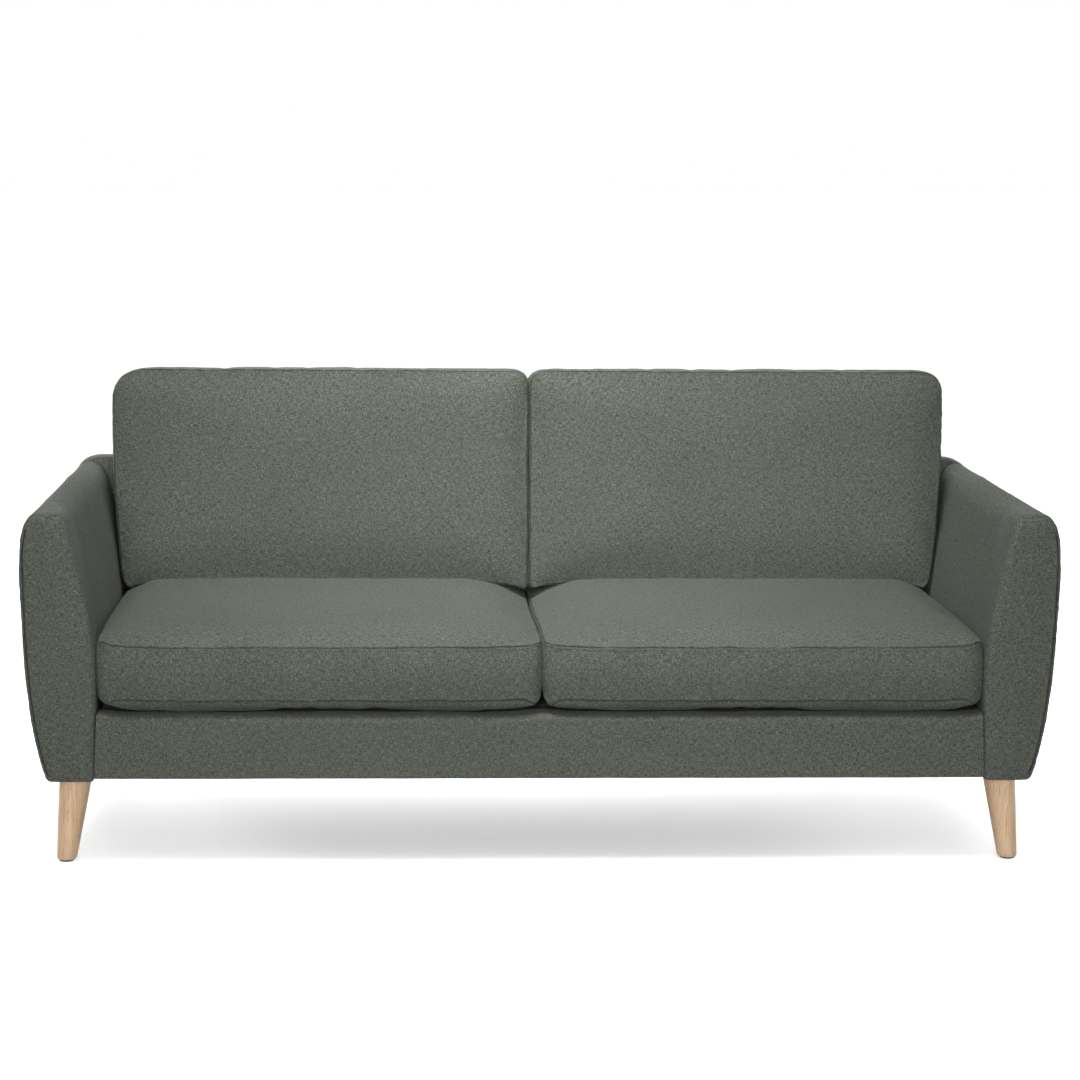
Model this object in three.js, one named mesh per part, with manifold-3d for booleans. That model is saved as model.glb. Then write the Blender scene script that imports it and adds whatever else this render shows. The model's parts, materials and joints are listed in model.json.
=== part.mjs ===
// A three-seat fabric sofa on four turned wooden legs, in millimetres, +Z up, front towards -Y.
// Two padded arm units and a full-width padded back stand round a seat box with zigzag springs.
// Two loose seat cushions lie on the deck, and two loose back cushions stand on them and lean on the back.
// The origin is on the floor, under the middle of the overall box. Right means +X.
import * as THREE from "three";
import { mergeVertices } from "three/addons/utils/BufferGeometryUtils.js";
import Module from "manifold-3d";

const wasm = await Module();
wasm.setup();

// Driving dimensions
const HALF_WIDTH = 960; // to the fullest part of an arm
const FRONT = -425;
const REAR = 425;
const ARM_BOTTOM = 161;
const ARM_TOP = 657;
const ARM_DISH = 13; // how far the arm's inner face falls back behind its front lip
const BASE_BOTTOM = 168;
const DECK_TOP = 288;
const BACK_TOP = 664;
const BACK_FRONT = 292; // the back's front face below BACK_BREAK
const BACK_BREAK = 270; // where that face starts to lean
const RECLINE = THREE.MathUtils.degToRad(8);
const GAP = 0.5; // between pieces that touch
const SKIN = 10; // padding and fabric over a frame
const CUSHION_SKIN = 12; // cover and fibre wrap round a foam core

const SEAT_HALF = 818; // the seat box, half its width
const BOARD = 22; // rails of the seat box
const PLY = 18; // formers and ribs
const RAIL_TOP = 258;
const RAIL_BOTTOM = 172;
const REAR_RAIL = 262; // its front face

const LEG_TOP = { x: 866, y: 362 };
const LEG_SPLAY = { x: 16, y: 18 }; // outward travel from the top to the floor
const LEG_RADIUS = { top: 30, floor: 17 };
const LEG_HEIGHT = ARM_BOTTOM - GAP;
const BOLT_RADIUS = 4;
const BOLT_HOLE = 4.6;
const BOLT_SIDES = 12;

const material = (color, roughness, metalness = 0) =>
  new THREE.MeshStandardMaterial({ color, roughness, metalness });
const fabric = material(0x656b62, 0.95);
const lining = material(0x1d1d1e, 0.9);
const foam = material(0xd9cfae, 0.95);
const timber = material(0xc9a878, 0.7);
const plywood = material(0xc8ad84, 0.75);
const legWood = material(0xd8b48c, 0.5);
const webbing = material(0x3a3a3c, 0.9);
const steel = material(0x8d9094, 0.4, 1);

// ---- solids

function solidOf(geometry) {
  const bare = geometry.clone();
  bare.deleteAttribute("normal");
  bare.deleteAttribute("uv");
  const merged = mergeVertices(bare, 1e-4);
  return new wasm.Manifold(
    new wasm.Mesh({
      numProp: 3,
      vertProperties: new Float32Array(merged.attributes.position.array),
      triVerts: new Uint32Array(merged.index.array),
    }),
  );
}

function geometryOf(solid) {
  const mesh = solid.getMesh();
  const geometry = new THREE.BufferGeometry();
  geometry.setAttribute("position", new THREE.BufferAttribute(mesh.vertProperties, 3));
  geometry.setIndex(new THREE.BufferAttribute(mesh.triVerts, 1));
  geometry.computeVertexNormals();
  return geometry;
}

const cut = (body, ...tools) =>
  geometryOf(tools.reduce((left, tool) => left.subtract(solidOf(tool)), solidOf(body)));
const join = (...bodies) =>
  geometryOf(bodies.map(solidOf).reduce((whole, piece) => whole.add(piece)));
const common = (a, b) => geometryOf(solidOf(a).intersect(solidOf(b)));

// A box between two corners.
function block(x0, x1, y0, y1, z0, z1) {
  return new THREE.BoxGeometry(x1 - x0, y1 - y0, z1 - z0).translate(
    (x0 + x1) / 2,
    (y0 + y1) / 2,
    (z0 + z1) / 2,
  );
}

// A cylinder along one axis, from one end to the other.
function rod(axis, radius, from, to, sides = BOLT_SIDES) {
  const geometry = new THREE.CylinderGeometry(radius, radius, to - from, sides);
  if (axis === "x") geometry.rotateZ(Math.PI / 2);
  if (axis === "z") geometry.rotateX(Math.PI / 2);
  const middle = (from + to) / 2;
  return geometry.translate(
    axis === "x" ? middle : 0,
    axis === "y" ? middle : 0,
    axis === "z" ? middle : 0,
  );
}

// An (x, z) outline run along y, from y0 to y1.
const alongY = (shape, y0, y1, curveSegments = 8) =>
  new THREE.ExtrudeGeometry(shape, { depth: y1 - y0, bevelEnabled: false, curveSegments })
    .rotateX(Math.PI / 2)
    .translate(0, y1, 0);

// A (y, z) outline run along x, from x0 to x1.
function alongX(shape, x0, x1, curveSegments = 4) {
  const axes = new THREE.Matrix4().makeBasis(
    new THREE.Vector3(0, 1, 0),
    new THREE.Vector3(0, 0, 1),
    new THREE.Vector3(1, 0, 0),
  );
  return new THREE.ExtrudeGeometry(shape, { depth: x1 - x0, bevelEnabled: false, curveSegments })
    .applyMatrix4(axes)
    .translate(x0, 0, 0);
}

const polygon = (points) => new THREE.Shape(points.map(([u, v]) => new THREE.Vector2(u, v)));

// A solid through (x, z) rings of equal length, each at its own y.
function loft(rings) {
  const count = rings[0].outline.length;
  const positions = rings.flatMap(({ outline, y }) => outline.flatMap((p) => [p.x, y, p.y]));
  const faces = [];
  for (let ring = 0; ring + 1 < rings.length; ring++) {
    for (let i = 0; i < count; i++) {
      const a = ring * count + i;
      const b = ring * count + ((i + 1) % count);
      faces.push(a, a + count, b, b, a + count, b + count);
    }
  }
  const cap = THREE.ShapeUtils.triangulateShape(rings[0].outline, []);
  const last = (rings.length - 1) * count;
  cap.forEach(([a, b, c]) => faces.push(a, b, c, last + a, last + c, last + b));
  const geometry = new THREE.BufferGeometry();
  geometry.setAttribute("position", new THREE.Float32BufferAttribute(positions, 3));
  geometry.setIndex(faces);
  geometry.computeVertexNormals();
  return geometry;
}

// ---- outlines

// The arm seen from the front: full in the middle, narrow at the foot and rounded at the top.
// inset moves the outline inwards, and dish moves only the inner side outwards.
function armOutline(inset = 0, dish = 0) {
  const inner = inset + dish;
  const shape = new THREE.Shape();
  const bottom = ARM_BOTTOM + inset * 0.3;
  const top = ARM_TOP - inset;
  const out = HALF_WIDTH - inset;
  shape.moveTo(827 + inner, bottom);
  shape.lineTo(890 - inset, bottom);
  shape.quadraticCurveTo(902 - inset, bottom, 908 - inset, bottom + 11);
  shape.bezierCurveTo(942 - inset, 250, out, 420, out, 560);
  shape.bezierCurveTo(out, top - 32, 948 - inset, top, 925 - inset, top);
  shape.lineTo(886 + inner, top);
  shape.quadraticCurveTo(876 + inner, top, 873 + inner, top - 12);
  shape.bezierCurveTo(852 + inner, 560, 820 + inner, 450, 822 + inner, 330);
  shape.bezierCurveTo(821 + inner, 280, 826 + inner, 220, 827 + inner, bottom);
  const points = shape.getPoints(6);
  if (points[0].distanceTo(points.at(-1)) < 1e-6) points.pop();
  return points;
}

// The sofa seen from behind: both arms' outer curves, with a flat top.
function backOutline(inset = 0) {
  const out = HALF_WIDTH - inset;
  const top = BACK_TOP - inset;
  const bottom = ARM_BOTTOM + inset * 0.3;
  const shape = new THREE.Shape();
  shape.moveTo(892 - inset, bottom);
  shape.quadraticCurveTo(902 - inset, bottom, 908 - inset, bottom + 11);
  shape.bezierCurveTo(942 - inset, 250, out, 420, out, 560);
  shape.bezierCurveTo(out, top - 36, 948 - inset, top, 920 - inset, top);
  shape.lineTo(inset - 920, top);
  shape.bezierCurveTo(inset - 948, top, -out, top - 36, -out, 560);
  shape.bezierCurveTo(-out, 420, inset - 942, 250, inset - 908, bottom + 11);
  shape.quadraticCurveTo(inset - 902, bottom, inset - 892, bottom);
  return shape;
}

// y of the back's leaning front face at height z.
const backFace = (z) => BACK_FRONT + (z - BACK_BREAK) * Math.tan(RECLINE);

// The back seen from the side: upright behind, leaning in front, rounded on top.
function backSide(inset = 0) {
  const top = BACK_TOP - inset;
  const rear = REAR - inset;
  const bottom = ARM_BOTTOM + inset * 0.3;
  const shape = new THREE.Shape();
  shape.moveTo(BACK_FRONT + inset, bottom);
  shape.lineTo(rear, bottom);
  shape.lineTo(rear, top - 24);
  shape.quadraticCurveTo(rear, top, rear - 24, top);
  shape.lineTo(backFace(top) + inset + 22, top);
  shape.quadraticCurveTo(backFace(top) + inset, top, backFace(top - 22) + inset, top - 22);
  shape.lineTo(BACK_FRONT + inset, BACK_BREAK);
  return shape;
}

// A cushion with a crowned face, standing on its lower face at z = 0, corner (0, 0) to (width, depth).
// flare widens the +X side towards +Y, and inset shrinks it all round for the foam inside.
function pillow({ width, depth, side, crown, belly, flare = 0 }, inset = 0) {
  const across = 6;
  const deep = 4;
  const geometry = new THREE.BoxGeometry(2, 2, 2, across, deep, 1);
  const position = geometry.attributes.position;
  for (let i = 0; i < position.count; i++) {
    const u = position.getX(i);
    const v = position.getY(i);
    const w = position.getZ(i);
    const rise = (1 - u ** 4) * (1 - v * v);
    const corner = 10 * u ** 6 * v ** 6;
    const x = width / 2 + u * (width / 2 - inset - corner) + (Math.max(u, 0) * flare * (v + 1)) / 2;
    const y = depth / 2 + v * (depth / 2 - inset - corner);
    const z = w > 0 ? belly + side - inset + crown * rise : belly + inset - belly * rise;
    position.setXYZ(i, x, y, z);
  }
  return geometry;
}

// ---- the scene graph

const sofa = new THREE.Group();

function add(parent, name, geometry, look) {
  const mesh = new THREE.Mesh(geometry, look);
  mesh.name = name;
  parent.add(mesh);
  return mesh;
}

// What both sides have is built on the right, and mirrored for the left.
function bothSides(build) {
  for (const side of ["left", "right"]) {
    const half = new THREE.Group();
    if (side === "left") half.scale.x = -1;
    build(half, side);
    sofa.add(half);
  }
}

const backBody = (inset) =>
  common(
    alongY(backOutline(inset), BACK_FRONT - 5, REAR + 5),
    alongX(backSide(inset), -HALF_WIDTH - 5, HALF_WIDTH + 5),
  );

// A vertical hole or bolt over a leg.
const overLeg = (radius, from, to, rear) =>
  rod("z", radius, from, to).translate(LEG_TOP.x, rear ? LEG_TOP.y : -LEG_TOP.y, 0);

// ---- legs

const LEG_BOLT = { from: 118, to: 208 };
const SKIN_HOLE = [150, 175]; // a hole through the cover over a leg

function leg(rear) {
  const over = 12; // the turned blank runs past both cuts
  const taper = (LEG_RADIUS.top - LEG_RADIUS.floor) / LEG_HEIGHT;
  const blank = new THREE.LatheGeometry(
    [
      new THREE.Vector2(0, -over),
      new THREE.Vector2(LEG_RADIUS.floor - over * taper, -over),
      new THREE.Vector2(LEG_RADIUS.top + over * taper, LEG_HEIGHT + over),
      new THREE.Vector2(0, LEG_HEIGHT + over),
    ],
    32,
  ).rotateX(Math.PI / 2);
  // Shearing leans the leg outwards and keeps its cuts level.
  const forward = rear ? 1 : -1;
  const lean = new THREE.Matrix4().set(
    1, 0, -LEG_SPLAY.x / LEG_HEIGHT, LEG_TOP.x + LEG_SPLAY.x,
    0, 1, (-forward * LEG_SPLAY.y) / LEG_HEIGHT, forward * (LEG_TOP.y + LEG_SPLAY.y),
    0, 0, 1, 0,
    0, 0, 0, 1,
  );
  blank.applyMatrix4(lean);
  const trimmed = common(blank, block(700, 1100, -600, 600, 0, LEG_HEIGHT));
  return cut(trimmed, overLeg(BOLT_HOLE, LEG_BOLT.from - 2, LEG_HEIGHT + 5, rear));
}

function legs(half, side) {
  for (const rear of [false, true]) {
    const place = (rear ? "rear_" : "front_") + side;
    const edge = rear ? [322, 404] : [-394, -322];
    add(half, "leg_" + place, leg(rear), legWood);
    add(half, "leg_bolt_" + place, overLeg(BOLT_RADIUS, LEG_BOLT.from, LEG_BOLT.to, rear), steel);
    add(
      half,
      "leg_block_" + place,
      cut(block(846, 886, edge[0], edge[1], 173, 218), overLeg(BOLT_HOLE, 170, 225, rear)),
      timber,
    );
  }
}

// ---- arms

const LIP = -380; // the arm's front lip ends here
const DISHED = -250; // and its inner face is fully dished here
const ARM_SPAN = [-394, 261]; // the rails between the arm's two formers
const ARM_BOLTS = [-250, 150];
const ARM_BOLT_Z = 240;

const armBolt = (radius, from, to, y) => rod("x", radius, from, to).translate(0, y, ARM_BOLT_Z);

function arm(half, side) {
  const frontRing = armOutline(SKIN * 0.6);
  const body = loft([
    { y: FRONT, outline: frontRing },
    { y: FRONT + 7, outline: armOutline() },
    { y: LIP, outline: armOutline() },
    { y: DISHED, outline: armOutline(0, ARM_DISH) },
    { y: REAR, outline: armOutline(0, ARM_DISH) },
  ]);
  const hollow = loft([
    { y: FRONT + SKIN, outline: armOutline(SKIN) },
    { y: LIP, outline: armOutline(SKIN) },
    { y: DISHED, outline: armOutline(SKIN, ARM_DISH) },
    { y: REAR + 1, outline: armOutline(SKIN, ARM_DISH) },
  ]);
  const behind = alongX(
    polygon([
      [BACK_FRONT - GAP, 100],
      [REAR + 10, 100],
      [REAR + 10, 700],
      [backFace(700) - GAP, 700],
      [BACK_FRONT - GAP, BACK_BREAK],
    ]),
    700,
    1000,
  );
  add(
    half,
    "arm_cover_" + side,
    cut(
      body,
      hollow,
      behind,
      overLeg(BOLT_HOLE, ...SKIN_HOLE, false),
      ...ARM_BOLTS.map((y) => armBolt(BOLT_HOLE, 800, 860, y)),
    ),
    fabric,
  );

  const former = (dish, y) =>
    loft([
      { y, outline: armOutline(SKIN + 1, dish) },
      { y: y + PLY, outline: armOutline(SKIN + 1, dish) },
    ]);
  add(half, "arm_front_former_" + side, former(0, ARM_SPAN[0] - 1 - PLY), plywood);
  add(half, "arm_rear_former_" + side, former(ARM_DISH, ARM_SPAN[1] + 1), plywood);
  add(half, "arm_top_rail_" + side, block(902, 924, ...ARM_SPAN, 600, 638), timber);
  add(
    half,
    "arm_board_" + side,
    cut(
      block(892, 904, ...ARM_SPAN, 222, 596),
      ...ARM_BOLTS.map((y) => armBolt(BOLT_HOLE, 880, 910, y)),
    ),
    plywood,
  );
  ARM_BOLTS.forEach((y, i) =>
    add(
      half,
      `arm_bolt_${i ? "rear" : "front"}_${side}`,
      join(armBolt(BOLT_RADIUS, 789, 906, y), armBolt(7.5, 788, SEAT_HALF - BOARD - GAP, y)),
      steel,
    ),
  );
  add(
    half,
    "side_rail_" + side,
    cut(
      block(SEAT_HALF - BOARD, SEAT_HALF, -380, REAR_RAIL - 1, RAIL_BOTTOM, RAIL_TOP),
      ...ARM_BOLTS.map((y) => armBolt(BOLT_HOLE, 780, 830, y)),
    ),
    timber,
  );
}

// ---- seat box

const BACK_BOLT = { x: 400, z: 215, from: 252, to: 322 };

const backBolt = (radius, from, to, x) => rod("y", radius, from, to).translate(x, 0, BACK_BOLT.z);
const backBoltHoles = [-1, 1].map((s) => backBolt(BOLT_HOLE, 245, 330, s * BACK_BOLT.x));

// One zigzag spring at x: a wire that swings from side to side on a low arch.
function zigzag(x) {
  const swings = 16;
  const start = -394;
  const end = 276;
  const points = [];
  for (let i = 0; i <= swings; i++) {
    const t = i / swings;
    const sway = i % 2 ? 24 : -24;
    points.push(
      new THREE.Vector3(x + sway, start + (end - start) * t, 261.5 + 5 * Math.sin(Math.PI * t)),
    );
  }
  const section = polygon(
    Array.from({ length: 5 }, (_, i) => [
      2 * Math.cos((i * 2 * Math.PI) / 5),
      2 * Math.sin((i * 2 * Math.PI) / 5),
    ]),
  );
  return new THREE.ExtrudeGeometry(section, {
    steps: swings * 3,
    extrudePath: new THREE.CatmullRomCurve3(points),
  });
}

function springs(half, side) {
  const wires = [100, 300, 500, 700].map(zigzag);
  const ties = [-162, 44].map((y) => rod("x", 1.5, 70, 730, 6).translate(0, y, 266));
  add(half, "seat_springs_" + side, join(...wires, ...ties), steel);
}

function seatBox() {
  const span = SEAT_HALF - BOARD - GAP;
  add(sofa, "front_rail", block(-SEAT_HALF, SEAT_HALF, -405, -381, RAIL_BOTTOM, RAIL_TOP), timber);
  add(
    sofa,
    "rear_rail",
    cut(block(-SEAT_HALF, SEAT_HALF, REAR_RAIL, REAR_RAIL + BOARD, RAIL_BOTTOM, RAIL_TOP), ...backBoltHoles),
    timber,
  );
  add(sofa, "centre_stretcher", block(-16, 16, -380, REAR_RAIL - 1, RAIL_BOTTOM, 240), timber);
  const roll = new THREE.Shape();
  const face = -418;
  const behind = -370;
  roll.moveTo(behind, BASE_BOTTOM);
  roll.lineTo(behind, BASE_BOTTOM + 3);
  roll.lineTo(face + 12, BASE_BOTTOM + 3);
  roll.lineTo(face + 12, 268);
  roll.lineTo(behind, 268);
  roll.lineTo(behind, DECK_TOP);
  roll.lineTo(face + 12, DECK_TOP);
  roll.quadraticCurveTo(face, DECK_TOP, face, DECK_TOP - 12);
  roll.lineTo(face, BASE_BOTTOM);
  add(sofa, "front_rail_cover", alongX(roll, -821, 821), fabric);
  add(sofa, "seat_deck", block(-span - BOARD, span + BOARD, behind + GAP, 290, 270, DECK_TOP), lining);
  add(sofa, "dust_cover", block(-816, 816, -404, 288, BASE_BOTTOM - 2, BASE_BOTTOM - GAP), lining);
  for (const [s, side] of [[-1, "left"], [1, "right"]]) {
    add(
      sofa,
      "back_bolt_" + side,
      join(
        backBolt(BOLT_RADIUS, BACK_BOLT.from, BACK_BOLT.to, s * BACK_BOLT.x),
        backBolt(7.5, BACK_BOLT.from, 261.5, s * BACK_BOLT.x),
      ),
      steel,
    );
  }
}

// ---- back

function back() {
  const legHoles = [0, -2 * LEG_TOP.x].map((shift) =>
    overLeg(BOLT_HOLE, ...SKIN_HOLE, true).translate(shift, 0, 0),
  );
  add(sofa, "back_cover", cut(backBody(0), backBody(SKIN), ...legHoles, ...backBoltHoles), fabric);

  const edge = (z) => backFace(z) + SKIN + 4; // the ribs' front edge leaves room for the webbing
  const rib = polygon([
    [324, RAIL_BOTTOM],
    [412, RAIL_BOTTOM],
    [412, 600],
    [edge(600), 600],
    [edge(BACK_BREAK), BACK_BREAK],
    [324, BACK_BREAK],
  ]);
  for (const [name, x] of [["left", -800], ["centre", 0], ["right", 800]]) {
    add(sofa, "back_rib_" + name, alongX(rib, x - PLY / 2, x + PLY / 2), plywood);
  }
  add(sofa, "back_top_rail", block(-880, 880, 372, 402, 606, 646), timber);
  add(
    sofa,
    "back_lower_rail",
    cut(block(-820, 820, 304, 323, RAIL_BOTTOM, 262), ...backBoltHoles),
    timber,
  );
}

function backWebbing(half, side) {
  for (const [name, z] of [["lower", 380], ["upper", 500]]) {
    const band = add(half, `back_webbing_${name}_${side}`, block(3, 806, -1, 1, -30, 30), webbing);
    band.position.set(0, backFace(z) + SKIN + 2.2, z);
    band.rotation.x = -RECLINE;
  }
}

// ---- cushions

const SEAT = { width: 813, depth: 720, side: 112, crown: 28, belly: 10 };
const BACK = { width: 836, depth: 432, side: 165, crown: 20, belly: 0, flare: 24 };
const ZIP = { length: 600, half: 5, slider: 30 };

// A zip's slider with its pull, lying along +X from 0, thickness in y.
const zipSlider = () =>
  join(block(0, 12, -3, 3, -4, 4), block(11, ZIP.slider, -1, 1, -2.5, 2.5));

function cushion(half, side, kind, size, slot, sliderAt, sliderTurn) {
  add(half, `${kind}_cover_${side}`, cut(pillow(size), pillow(size, CUSHION_SKIN), slot), fabric);
  add(half, `${kind}_core_${side}`, pillow(size, CUSHION_SKIN + GAP), foam);
  const slider = add(half, `${kind}_zip_slider_${side}`, zipSlider(), steel);
  slider.position.set(...sliderAt);
  slider.rotation.x = sliderTurn;
}

function seatCushion(half, side) {
  const place = new THREE.Group();
  place.position.set(3, FRONT, DECK_TOP + 2);
  half.add(place);
  const from = (SEAT.width - ZIP.length) / 2;
  const z = 62;
  const wall = SEAT.depth - CUSHION_SKIN;
  const slot = block(from, from + ZIP.length, wall - 2, SEAT.depth + 2, z - ZIP.half, z + ZIP.half);
  cushion(place, side, "seat", SEAT, slot, [from + 4, SEAT.depth - 5, z], 0);
}

function backCushion(half, side) {
  const lean = new THREE.Group();
  const bottom = 414; // its rear lower edge
  lean.position.set(2, backFace(bottom) - 3, bottom);
  lean.rotation.x = Math.PI / 2 - RECLINE;
  half.add(lean);
  const from = (BACK.width - ZIP.length) / 2;
  const z = 82;
  const slot = block(from, from + ZIP.length, -2, CUSHION_SKIN + 2, z - ZIP.half, z + ZIP.half);
  cushion(lean, side, "back", BACK, slot, [from + 4, 5, z], 0);
}

bothSides(legs);
bothSides(arm);
bothSides(springs);
bothSides(backWebbing);
bothSides(seatCushion);
bothSides(backCushion);
seatBox();
back();

export default sofa;
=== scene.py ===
# The looks of a fabric sofa on turned wooden legs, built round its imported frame.
# Metres, +Z up, front towards -Y, the floor at z = 0.
# What both sides have is built on the right and mirrored.
import json
import math

import bpy
import numpy as np
from mathutils import Matrix, Vector, kdtree


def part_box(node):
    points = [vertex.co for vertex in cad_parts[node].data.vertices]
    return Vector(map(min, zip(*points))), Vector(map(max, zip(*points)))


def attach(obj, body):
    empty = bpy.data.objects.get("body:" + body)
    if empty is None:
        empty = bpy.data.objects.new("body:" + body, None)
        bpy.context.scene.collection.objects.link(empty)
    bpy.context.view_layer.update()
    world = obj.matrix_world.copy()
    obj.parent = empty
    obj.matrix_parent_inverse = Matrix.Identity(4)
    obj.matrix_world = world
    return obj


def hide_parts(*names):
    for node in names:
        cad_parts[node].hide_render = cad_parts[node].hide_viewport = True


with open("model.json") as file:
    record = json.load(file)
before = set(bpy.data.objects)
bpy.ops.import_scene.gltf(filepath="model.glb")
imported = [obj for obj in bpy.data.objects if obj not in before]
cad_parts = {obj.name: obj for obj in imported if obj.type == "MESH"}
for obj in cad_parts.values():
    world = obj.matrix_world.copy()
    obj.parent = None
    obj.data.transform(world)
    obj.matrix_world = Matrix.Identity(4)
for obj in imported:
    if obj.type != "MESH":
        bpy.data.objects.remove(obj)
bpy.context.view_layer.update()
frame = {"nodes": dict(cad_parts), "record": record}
SIDES = {"left": -1, "right": 1}

# Driving sizes that the frame's boxes don't give
RECLINE = math.radians(8)
BACK_BREAK = 0.27  # the height where the back's front face starts to lean
WIDEST = 0.56  # the height where the arms and the back are widest
ARM_DISH = 0.013  # how far an arm's inner face falls back behind its front lip
LIP_SOFT = 0.004  # rounding of the arm's inner top edge at the lip, and how much more there is behind it
MORE_SOFT = 0.024
BACK_LOW, BACK_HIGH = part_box("back_cover")
ARM_LOW, ARM_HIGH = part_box("arm_cover_right")


# ---- camera, light and floor


def make_camera():
    data = bpy.data.cameras.new("camera")
    camera = bpy.data.objects.new("camera", data)
    bpy.context.scene.collection.objects.link(camera)
    data.sensor_width = 36
    data.lens = 84.6
    data.shift_x = 0.0365
    data.shift_y = -0.106
    camera.matrix_world = (
        Matrix.Translation((-0.253, -5.013, 1.343))
        @ Matrix.Rotation(math.radians(-2.137), 4, "Z")
        @ Matrix.Rotation(math.radians(90 - 6.474), 4, "X")
        @ Matrix.Rotation(math.radians(0.417), 4, "Z")
    )
    bpy.context.scene.camera = camera


def add_light(name, kind, place, target, power):
    data = bpy.data.lights.new(name, kind)
    data.energy = power
    light = bpy.data.objects.new(name, data)
    light.location = place
    light.rotation_euler = (Vector(target) - Vector(place)).to_track_quat("-Z", "Y").to_euler()
    bpy.context.scene.collection.objects.link(light)
    return light


def softbox(name, place, size, power, spread=180):
    data = add_light(name, "AREA", place, (0, 0, 0.5), power).data
    data.shape = "RECTANGLE"
    data.size, data.size_y = size
    data.spread = math.radians(spread)


def floor_light(name, power, shadows, floor_only):
    """Lights the white floor and not the sofa."""
    light = add_light(name, "SUN", (0, 0, 4), (0, 0, 0), power)
    light.data.angle = math.radians(80)
    light.data.use_shadow = shadows
    light.light_linking.receiver_collection = floor_only


def make_world():
    """A white surround that lights the sofa only faintly."""
    world = bpy.data.worlds.new("studio")
    world.use_nodes = True
    nodes, links = world.node_tree.nodes, world.node_tree.links
    background = nodes["Background"]
    background.inputs["Color"].default_value = (1, 1, 1, 1)
    seen = nodes.new("ShaderNodeLightPath").outputs["Is Camera Ray"]
    strength = nodes.new("ShaderNodeMapRange")
    strength.inputs["To Min"].default_value = 0.15
    strength.inputs["To Max"].default_value = 1.0
    links.new(seen, strength.inputs["Value"])
    links.new(strength.outputs[0], background.inputs["Strength"])
    bpy.context.scene.world = world


def make_studio():
    make_world()
    bpy.context.scene.view_settings.view_transform = "Standard"
    softbox("overhead", (-0.2, -0.6, 2.9), (1.4, 1.0), 11.5, 60)
    softbox("front", (0.2, -5.5, 1.2), (3.0, 1.5), 70)
    softbox("front_left", (-1.6, -5.0, 2.0), (2.0, 2.0), 32)
    softbox("front_narrow", (-0.6, -5.0, 1.8), (2.2, 1.6), 5, 24)
    # Low and behind, so that they light the sides and back and stay off the arms' inner faces.
    softbox("rear_left", (-3.4, 2.6, 0.8), (2.0, 1.2), 95)
    softbox("rear_right", (3.4, 2.6, 0.8), (2.0, 1.2), 95)
    softbox("behind", (0.0, 4.2, 2.2), (3.0, 2.0), 130)
    reach = 60
    corners = [(-reach, -reach, 0), (reach, -reach, 0), (reach, reach, 0), (-reach, reach, 0)]
    mesh = bpy.data.meshes.new("floor")
    mesh.from_pydata(corners, [], [(0, 1, 2, 3)])
    floor = bpy.data.objects.new("floor", mesh)
    bpy.context.scene.collection.objects.link(floor)
    mesh.materials.append(floor_material())
    floor.visible_diffuse = False
    floor_only = bpy.data.collections.new("floor_only")
    floor_only.objects.link(floor)
    floor_light("floor_even", 2.3, False, floor_only)
    floor_light("floor_soft", 1.3, True, floor_only)


# ---- material nodes


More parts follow.
